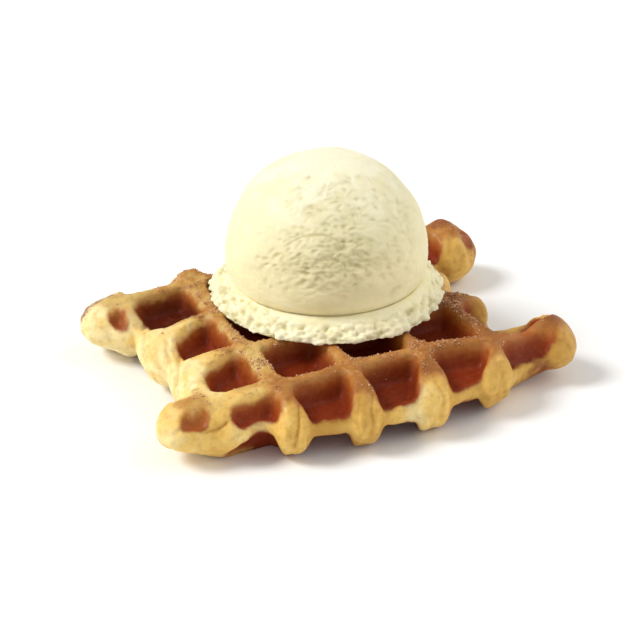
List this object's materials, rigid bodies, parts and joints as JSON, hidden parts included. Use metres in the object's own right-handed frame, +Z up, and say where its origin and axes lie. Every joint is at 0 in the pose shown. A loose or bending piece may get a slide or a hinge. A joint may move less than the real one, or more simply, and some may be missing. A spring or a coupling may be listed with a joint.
{
  "type": "waffle with ice cream",
  "caption": "Croissant waffle pressed in a deep square grid, with open knuckled edges and blunt arms, carrying a dome of vanilla ice cream on a ragged skirt.",
  "frame": {"origin": "centre of the bounding box in plan, at the flat undersides of the lower ridges", "axes": "+X along the long ridges, from the two left arms to the two right arms; +Y from the pictured front edge to the back edge; +Z up"},
  "size_m": [0.1482, 0.1126, 0.0682],
  "materials": {
    "baked_dough": "baked laminated dough, pale at the open edges, browned in the pits, thin sugar glaze",
    "vanilla_ice_cream": "pale vanilla ice cream, matte with a soft sheen"
  },
  "bodies": {
    "root": {"waffle": "baked_dough", "ice_cream": "vanilla_ice_cream"}
  },
  "joints": []
}
